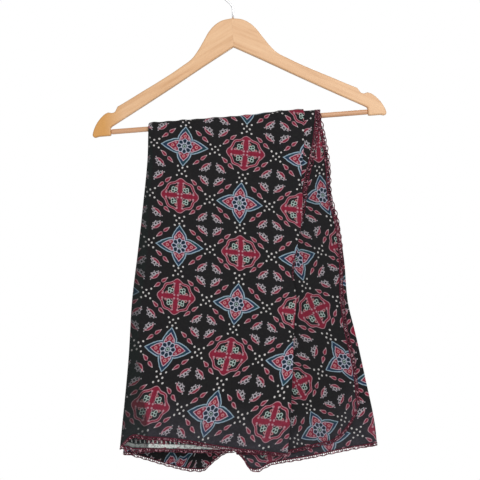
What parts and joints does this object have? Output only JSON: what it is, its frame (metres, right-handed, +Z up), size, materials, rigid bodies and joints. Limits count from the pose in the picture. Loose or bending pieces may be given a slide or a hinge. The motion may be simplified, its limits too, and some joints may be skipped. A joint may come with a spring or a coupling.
{
  "type": "ajrakh cloth on a wooden coat hanger",
  "caption": "Black block-printed ajrakh cloth with a crocheted edging, folded lengthwise and hung over the bar of a wooden coat hanger.",
  "frame": {"origin": "the seat of the hook, inside the top of its curve, where a rail carries the hanger", "axes": "+Z up, +X along the bar to the viewer's right, -Y towards the viewer of the front panel"},
  "size_m": [0.4422, 0.0594, 0.7614],
  "materials": {
    "printed_cloth": "soft woven cloth, black ground with a crimson, blue and white block print",
    "crochet_thread": "maroon crocheted thread with a slight sheen",
    "beech_wood": "satin varnish",
    "bar_wood": "satin varnish",
    "hook_steel": "bright plated wire"
  },
  "bodies": {
    "root": {"ajrakh_cloth": "printed_cloth", "crocheted_edging": "crochet_thread", "hanger_arm_left": "beech_wood", "hanger_arm_right": "beech_wood", "hanger_bar": "bar_wood", "hook": "hook_steel"}
  },
  "joints": []
}
